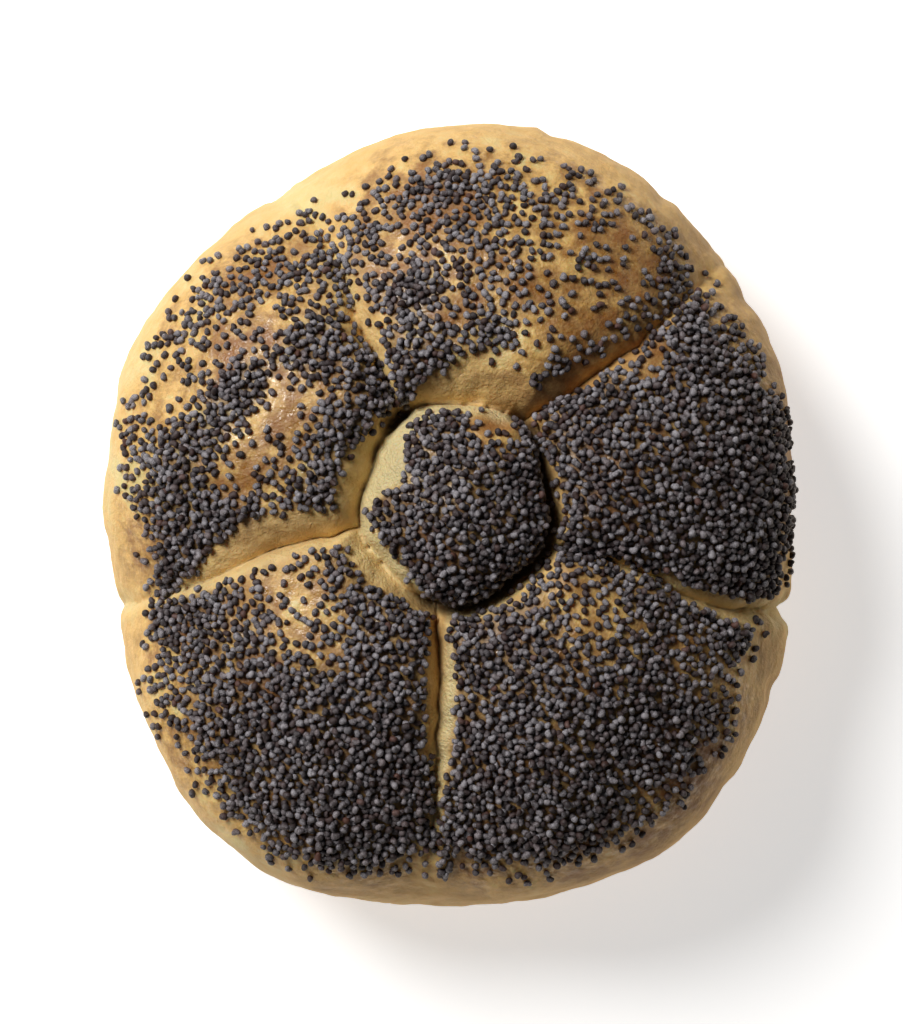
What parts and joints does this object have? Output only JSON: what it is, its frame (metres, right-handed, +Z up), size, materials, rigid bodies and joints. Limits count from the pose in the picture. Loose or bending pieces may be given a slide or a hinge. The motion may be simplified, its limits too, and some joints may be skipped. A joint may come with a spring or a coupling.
{
  "type": "kaiser roll",
  "caption": "Round baked kaiser roll: dough lobes curled round a closed centre knob, with deep curved creases, poppy seed on top and a flat underside.",
  "frame": {"origin": "middle of the flat underside, under the middle of the roll's box", "axes": "+Z up through the baked top, +Y along the roll's long side, +X across it"},
  "size_m": [0.0846, 0.096, 0.044],
  "materials": {
    "crust": "thin baked crust, golden brown with pale creases and a dull gloss",
    "poppy_seed": "slate-blue to near-black seed with a fine netted skin"
  },
  "bodies": {
    "root": {"roll": "crust"}
  },
  "joints": []
}
